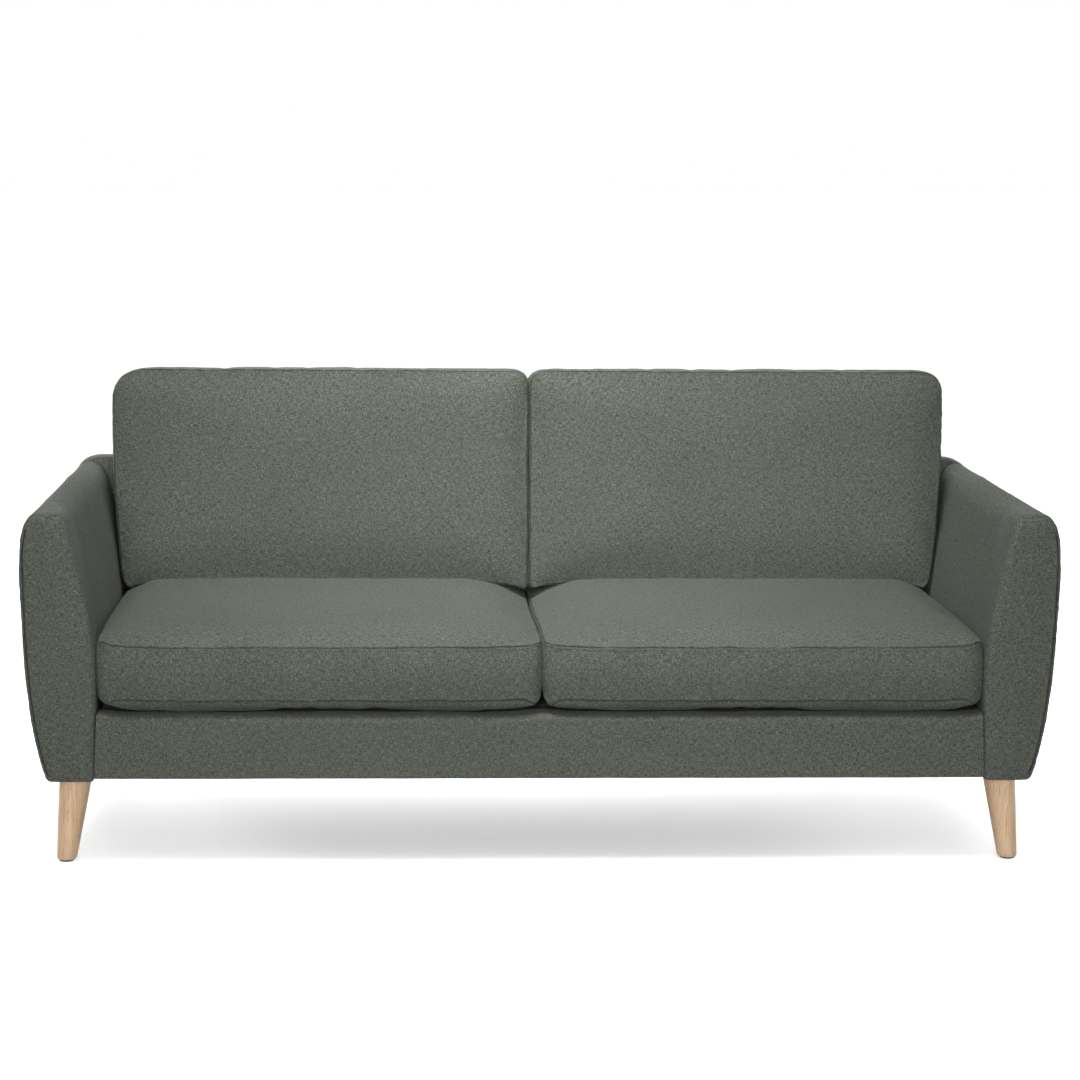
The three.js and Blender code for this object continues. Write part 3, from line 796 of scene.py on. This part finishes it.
def front_rail():
    low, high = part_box("front_rail_cover")
    half, front, rear, foot = high.x, low.y, high.y, low.z - 0.005
    near = 1 - np.array([0, 0.0015, 0.004, 0.008, 0.014, 0.022]) / half
    across = np.concatenate([-near, np.linspace(-0.965, 0.965, 180), near[::-1]])
    rings = []
    for share in across:
        x = share * half
        hump = 0.0045 * math.exp(-((x / 0.03) ** 2)) + 0.004 * math.exp(-(((half - abs(x)) / 0.028) ** 2))
        top = high.z - 0.0075 + hump
        face = front - 0.002 * (1 - share**8)
        section = np.concatenate([
            straight((rear, foot), (face + 0.004, foot), 8),
            bend((face + 0.004, foot), (face, foot), (face, foot + 0.004), 5),
            straight((face, foot + 0.004), (face, top - 0.014), 28),
            bend((face, top - 0.014), (face, top), (face + 0.016, top), 14),
            straight((face + 0.016, top), (rear, top), 6),
            straight((rear, top), (rear, foot), 8),
        ])[::-1]
        wide = share * half + np.sign(share) * abs(share) ** 60 * (rail_end(section[:, 1]) - half)
        rings.append(np.stack([wide, section[:, 0], section[:, 1]], 1))
    count = len(rings[0])
    first, last = (np.tile(ring.mean(0), (count, 1)) for ring in (rings[0], rings[-1]))
    points = np.concatenate([first, *rings, last])
    inner = slice(count, -count)
    drape = 0.0007 * ripples(points, 0.12, 25) + 0.0004 * ripples(points, 0.045, 26)
    points[inner, 1] += drape[inner]
    points[inner, 2] += 0.6 * drape[inner] * (points[inner, 2] > foot + 0.03)
    made = piece("front_rail_upholstery", points, tube_faces(len(rings) + 2, count), "fabric")
    weld(made)
    refine(made)
    finish_piece(made, "root", ["front_rail_cover"])


def slab(low, high, cell, name, slot):
    """A closed box of even cells, for a pad or a stretched cloth."""
    size = np.array(high) - np.array(low)
    grid, faces = lattice(*(spaced(length, cell, [0]) for length in size))
    return piece(name, grid * size / 2 + (np.array(high) + np.array(low)) / 2, faces, slot), grid


def seat_deck():
    low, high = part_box("seat_deck")
    made, grid = slab(low, high, 0.015, "seat_deck_pad", "lining")
    points = read(made)
    inside = np.clip(1 - grid[:, 0] ** 10, 0, 1) * np.clip(1 - grid[:, 1] ** 10, 0, 1)
    springs = 0.0012 * np.cos(points[:, 0] * 2 * math.pi / 0.2)
    points[:, 2] += inside * (springs - 0.0022 + 0.0006 * ripples(points, 0.09, 35))
    write(made, points)
    refine(made)
    rows = [[(x, low.y + 0.02, high.z), (x, high.y - 0.01, high.z)] for x in (-0.41, 0.41)]
    press_seams(made, rows, 0.0012, 0.003, seed=37)
    finish_piece(made, "root", ["seat_deck"])


def dust_cover():
    low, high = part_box("dust_cover")
    made, grid = slab(low, high, 0.016, "dust_cover_cloth", "lining")
    points = read(made)
    inside = (1 - grid[:, 0] ** 2) * (1 - grid[:, 1] ** 2)
    points[:, 2] += inside * 0.001 + 0.0003 * inside**0.5 * ripples(points, 0.07, 45)
    write(made, points)
    finish_piece(made, "root", ["dust_cover"])
    staples(low, high)


def repeated(unit, unit_faces, spots):
    """Points and faces of one mesh with a copy of the unit at each (centre, size)."""
    points = [np.asarray(unit) * size + centre for centre, size in spots]
    starts = [number * len(unit) for number in range(len(spots))]
    faces = [tuple(i + start for i in face) for start in starts for face in unit_faces]
    return np.concatenate(points), faces


def staples(low, high):
    """Wire staples along the dust cover's rim, each 11 mm wide, their crowns bowed a little."""
    half, wire, rim, spacing = 0.0055, 0.0006, 0.008, 0.048
    z = low.z - 0.0004
    spots = []
    for x in np.arange(low.x + 0.03, high.x - 0.02, spacing):
        spots += [((x, y, z), (half, wire, wire / 2)) for y in (low.y + rim, high.y - rim)]
    for y in np.arange(low.y + 0.05, high.y - 0.03, spacing):
        spots += [((x, y, z), (wire, half, wire / 2)) for x in (low.x + rim, high.x - rim)]
    unit, unit_faces = lattice(np.linspace(-1, 1, 5), np.linspace(-1, 1, 5), [-1, 1])
    unit[:, 2] -= 0.5 * (1 - (unit[:, 0] * unit[:, 1]) ** 2) * (unit[:, 2] < 0)
    points, faces = repeated(unit, unit_faces, spots)
    finish_piece(piece("dust_cover_staples", points, faces, "steel"), "root")


# ---- cushions


def spaced(size, cell, fine):
    """Grid places from -1 to 1 across a size: fine steps at both ends, for seams, and even cells between."""
    middle = size - 2 * fine[-1]
    cells = max(1, round(middle / cell))
    even = fine[-1] + np.linspace(0, middle, cells + 1)
    near = np.array(fine[:-1])
    return np.concatenate([near, even, size - near[::-1]]) * 2 / size - 1


def lattice(us, vs, ws):
    """A box's surface as cells between the given grid places: its points and faces."""
    index, places, faces = {}, [], []
    nx, ny, nz = len(us) - 1, len(vs) - 1, len(ws) - 1

    def corner(i, j, k):
        key = (i, j, k)
        if key not in index:
            index[key] = len(places)
            places.append((us[i], vs[j], ws[k]))
        return index[key]

    def side(a, b, c, d, turned):
        ring = (a, d, c, b) if turned else (a, b, c, d)
        faces.append(tuple(corner(*place) for place in ring))

    for i in range(nx):
        for j in range(ny):
            for k, turned in ((0, True), (nz, False)):
                side((i, j, k), (i + 1, j, k), (i + 1, j + 1, k), (i, j + 1, k), turned)
    for i in range(nx):
        for k in range(nz):
            for j, turned in ((0, False), (ny, True)):
                side((i, j, k), (i + 1, j, k), (i + 1, j, k + 1), (i, j, k + 1), turned)
    for j in range(ny):
        for k in range(nz):
            for i, turned in ((0, True), (nx, False)):
                side((i, j, k), (i, j + 1, k), (i, j + 1, k + 1), (i, j, k + 1), turned)
    return np.array(places, float), faces


def round_plan(u, v, half_x, half_y, radii):
    """Turns a square grid's plan into a rectangle with rounded corners.

    radii: one pair for low v and one for high v, each at low and high u.
    """
    x, y = u * half_x, v * half_y
    low, high = (np.where(u > 0, pair[1], pair[0]) for pair in radii)
    radius = np.where(v > 0, high, low)
    s = np.clip((np.abs(x) - (half_x - radius)) / radius, 0, 1)
    t = np.clip((np.abs(y) - (half_y - radius)) / radius, 0, 1)
    x = np.sign(x) * np.where(s > 0, half_x - radius + radius * s * np.sqrt(1 - t * t / 2), np.abs(x))
    y = np.sign(y) * np.where(t > 0, half_y - radius + radius * t * np.sqrt(1 - s * s / 2), np.abs(y))
    return x, y


def shoulder(distance, width):
    """Rises from 0 at an edge to 1 at width from it, as a quarter of an ellipse."""
    share = np.clip(distance / width, 0, 1)
    return np.sqrt(1 - (1 - share) ** 2)


LAST_FRAME = 20  # of each cloth simulation


def inflate(made, pinned, cap, slack):
    """Blows the cover out between its seams with a short cloth simulation, no further than cap.

    slack is the share by which the cloth is larger than the shape it starts from.
    """
    start = read(made)
    group = made.vertex_groups.new(name="seams")
    group.add([int(i) for i in pinned], 1.0, "REPLACE")
    modifier = made.modifiers.new("cloth", "CLOTH")
    settings = modifier.settings
    settings.quality = 5
    settings.mass = 0.3
    settings.tension_stiffness = settings.compression_stiffness = 12
    settings.shear_stiffness = 6
    settings.bending_stiffness = 0.6
    settings.vertex_group_mass = "seams"
    settings.use_pressure = True
    settings.uniform_pressure_force = 4.0
    settings.shrink_min = -slack
    settings.effector_weights.gravity = 0
    modifier.collision_settings.use_collision = False
    modifier.collision_settings.use_self_collision = False
    modifier.point_cache.frame_start = 1
    modifier.point_cache.frame_end = LAST_FRAME
    scene = bpy.context.scene
    for number in range(1, LAST_FRAME + 1):
        scene.frame_set(number)
    evaluated = made.evaluated_get(bpy.context.evaluated_depsgraph_get())
    moved = np.empty(len(start) * 3, np.float32)
    evaluated.data.vertices.foreach_get("co", moved)
    made.modifiers.clear()
    made.vertex_groups.clear()
    scene.frame_set(1)
    step = moved.reshape(-1, 3).astype(float) - start
    length = np.linalg.norm(step, axis=1, keepdims=True)
    step *= cap * np.tanh(length / cap) / np.maximum(length, 1e-9)
    write(made, start + step)


SEAM_STEPS = [0, 0.0012, 0.0026, 0.0046, 0.0075, 0.0115]  # fine rows beside each seam
CELL = 0.0085
EDGE = 0.9999  # a grid place beyond this lies on a face of the grid's box


def on_sides(grid):
    return np.maximum(np.abs(grid[:, 0]), np.abs(grid[:, 1])) > EDGE


def seam_ring(grid):
    return on_sides(grid) & (np.abs(grid[:, 2]) > EDGE)


def seat_shape(grid, width, depth, low_seam, high_seam):
    """u across to the arm, v back, w up. The front seams rise a little at the corners.

    The top is crowned, the underside bellies out, and the rear inner corner is pressed down.
    """
    u, v, w = grid.T
    x, y = round_plan(u, v, width / 2, depth / 2, ((0.030, 0.030), (0.022, 0.022)))
    to_inner, to_arm = width / 2 + x, width / 2 - x
    to_front, to_rear = depth / 2 + y, depth / 2 - y
    crown = 0.019 * shoulder(to_inner, 0.15) * shoulder(to_arm, 0.055)
    crown = crown * shoulder(to_front, 0.14) * shoulder(to_rear, 0.06)
    belly = 0.0195 * shoulder(to_inner, 0.035) * shoulder(to_arm, 0.055)
    belly = belly * shoulder(to_front, 0.016) * shoulder(to_rear, 0.03)
    lift = 0.005 * np.abs(u) ** 7 * np.clip(-v, 0, 1)
    pressed = 0.017 * np.clip(1 - to_inner / 0.10, 0, 1) ** 2 * np.clip((v + 0.5) / 0.7, 0, 1)
    height = low_seam + lift + (w + 1) / 2 * (high_seam - low_seam - pressed)
    height = np.where(w > EDGE, height + crown, height)
    height = np.where(w < -EDGE, height - belly, height)
    bulge = 0.013 * np.clip(u, 0, 1) ** 3 * (1 - v * v) ** 0.6
    proud = np.where(on_sides(grid), 0.0045 * (1 - w * w), 0)
    return np.stack([x + bulge + proud * u**9, y + proud * v**9, height], 1)


def seat_cushion(side, sign):
    low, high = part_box("seat_cover_right")
    width, depth = high.x - low.x - 0.001, high.y - low.y - 0.006
    low_seam, high_seam = low.z + 0.020, low.z + 0.120
    steps = [spaced(size, CELL, SEAM_STEPS) for size in (width, depth, high_seam - low_seam)]
    grid, faces = lattice(*steps)
    points = seat_shape(grid, width, depth, low_seam, high_seam)
    points += ((low.x + high.x) / 2, (low.y + high.y) / 2 - 0.001, 0)
    rim = seam_ring(grid)
    # The seams waver, as sewn edges do.
    points[rim, 2] += 0.0007 * ripples(points[rim], 0.06, 51 + sign)
    made = placed(f"seat_cushion_cover_{side}", points, faces, sign, "fabric")
    inflate(made, np.flatnonzero(rim), cap=0.010, slack=0.006)
    finish_cushion(made, grid, 61 + sign)
    slider_low, slider_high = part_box("seat_zip_slider_right")
    start = (slider_low.x - 0.004, slider_low.y - 0.0013, (slider_low.z + slider_high.z) / 2)
    add_zip(made, "seat_zip_" + side, sign, "seat_cushion_" + side, start, (0, 1, 0))
    nodes = [f"seat_cover_{side}", f"seat_core_{side}"]
    finish_piece(made, "seat_cushion_" + side, nodes)


def back_shape(grid, width, height, front_seam, rear_seam, corner, swell):
    """In the cushion's own frame: x across to the arm, y up the lean, z forwards."""
    u, v, w = grid.T
    x, y = round_plan(u, v, width / 2, height / 2, ((0.016, 0.020), (0.030, corner)))
    to_side = width / 2 - np.abs(x)
    to_foot, to_top = height / 2 + y, height / 2 - y
    crown = 0.014 * shoulder(to_side, 0.07) * shoulder(to_foot, 0.09) * shoulder(to_top, 0.07)
    z = rear_seam + (w + 1) / 2 * (front_seam - rear_seam)
    z = np.where(w > EDGE, z + crown, z)
    z = np.where(w < -EDGE, z - 0.3 * crown, z)
    proud = np.where(on_sides(grid), 0.005 * (1 - w**4), 0)
    rise = (v + 1) / 2
    flare = swell * np.clip(u, 0, 1) ** 2 * np.sin(math.pi * np.clip(rise * 0.62, 0, 1)) ** 0.8
    droop = (w + 1) / 2 * (1 - rise) ** 3 * (0.004 + 0.018 * np.abs(u) ** 9)
    x = x + proud * u**9 + width / 2 + flare
    y = y + proud * v**9 + height / 2 - droop
    return np.stack([x, y, z], 1)


# The radius of each back cushion's outer top corner, and how far its outer edge swells.
BACK_CORNER = {"left": (0.054, 0.026), "right": (0.036, 0.031)}


def back_cushion(side, sign):
    low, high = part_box("back_cover_right")
    height, thick = 0.430, 0.165
    width = high.x - low.x - 0.028
    steps = [spaced(size, CELL, SEAM_STEPS) for size in (width, height, thick - 0.018)]
    grid, faces = lattice(*steps)
    points = back_shape(grid, width, height, thick - 0.008, 0.010, *BACK_CORNER[side])
    rim = seam_ring(grid)
    points[rim] += 0.0005 * ripples(points[rim], 0.11, 71 + sign)[:, None]
    # The cushion is built lying flat, and then stood up to lean on the back.
    turn = np.array(Matrix.Rotation(math.pi / 2 - RECLINE, 3, "X"))
    foot = np.array([low.x + 0.001, back_face(low.z) - 0.003, low.z + 0.001])
    points = points @ turn.T + foot
    made = placed(f"back_cushion_cover_{side}", points, faces, sign, "fabric")
    inflate(made, np.flatnonzero(rim), cap=0.011, slack=0.005)
    finish_cushion(made, grid, 81 + sign)
    zip_end = (0.118, 0.0093, 0.082)  # in the cushion's own frame
    start = turn @ zip_end + (low.x, back_face(low.z) - 0.003, low.z)
    add_zip(made, "back_zip_" + side, sign, "back_cushion_" + side, start, turn @ (0, -1, 0))
    nodes = [f"back_cover_{side}", f"back_core_{side}"]
    finish_piece(made, "back_cushion_" + side, nodes)


def finish_cushion(made, grid, seed):
    """Fine mesh, then the cloth's small waves, and the sewn seams with their puckers."""
    lines = []
    points = read(made)
    for end in (-1, 1):
        loop = np.flatnonzero(seam_ring(grid) & (grid[:, 2] * end > 0))
        loop = loop[np.argsort(np.arctan2(grid[loop, 1], grid[loop, 0]))]
        lines.append(points[np.append(loop, loop[0])])
    refine(made)
    points, normals = read(made), read(made, "normal")
    wave = 0.0006 * ripples(points, 0.13, seed) + 0.0003 * ripples(points, 0.04, seed + 1)
    write(made, points + normals * wave[:, None])
    press_seams(made, lines, 0.0022, 0.0012, seed=seed + 2)


ZIP_LENGTH = 0.600
TOOTH_PITCH = 0.0016


def add_zip(made, name, sign, body, start, out):
    """Sinks a channel into the cover and lays tape and teeth in it.

    start is its floor's end, and out faces outwards.
    """
    along, out = np.array([1.0, 0, 0]), np.asarray(out, float)
    axes = np.array([along, np.cross(out, along), out])
    points = read(made) * (sign, 1, 1)
    local = (points - start) @ axes.T
    past_end = np.maximum(-local[:, 0], local[:, 0] - ZIP_LENGTH)
    weight = np.clip((0.0095 - np.abs(local[:, 1])) / 0.004, 0, 1)
    weight *= np.clip((0.008 - past_end) / 0.005, 0, 1)
    weight *= np.abs(local[:, 2]) < 0.025  # only the face that the zip is in
    points -= out * (local[:, 2] * weight)[:, None]
    write(made, points * (sign, 1, 1))
    half = ZIP_LENGTH / 2
    strips = [((half, side * 0.0031, 0.0006), (half, 0.0026, 0.0003)) for side in (-1, 1)]
    unit, unit_faces = lattice(np.linspace(-1, 1, 61), np.linspace(-1, 1, 5), [-1, 1])
    tape, faces = repeated(unit, unit_faces, strips)
    made_tape = placed(name + "_tape", tape @ axes + start, faces, sign, "webbing")
    finish_piece(made_tape, body)
    unit, unit_faces = lattice([-1, 0, 1], [-1, 0, 1], [-1, 1])
    unit[:, 2] *= 1 - 0.35 * np.abs(unit[:, 0])
    unit[:, 0] *= 1 - 0.3 * np.abs(unit[:, 1])
    tooth = (0.0006, 0.0011, 0.0004)
    places = np.arange(0.001, ZIP_LENGTH - 0.001, TOOTH_PITCH)
    spots = [((x, 0.0005 * (-1) ** turn, 0.0007), tooth) for turn, x in enumerate(places)]
    teeth, faces = repeated(unit, unit_faces, spots)
    finish_piece(placed(name + "_teeth", teeth @ axes + start, faces, sign, "teeth"), body)


# ---- what stays from the frame


def dress_frame():
    """Every carried-over node gets its material."""
    slots = {row["node"]: row["material_slot"] for row in frame["record"]["subparts"]}
    for name, node in frame["nodes"].items():
        material = MATERIALS.get("frame_" + slots[name]) or MATERIALS[slots[name]]
        if node.material_slots:
            for entry in node.material_slots:
                entry.material = material
        else:
            node.data.materials.append(material)


make_camera()
MATERIALS = make_materials()
make_studio()
dress_frame()
for side, sign in SIDES.items():
    leg("front", sign)
    leg("rear", sign)
    arm(side, sign)
    seat_cushion(side, sign)
    back_cushion(side, sign)
back_cover()
front_rail()
seat_deck()
dust_cover()
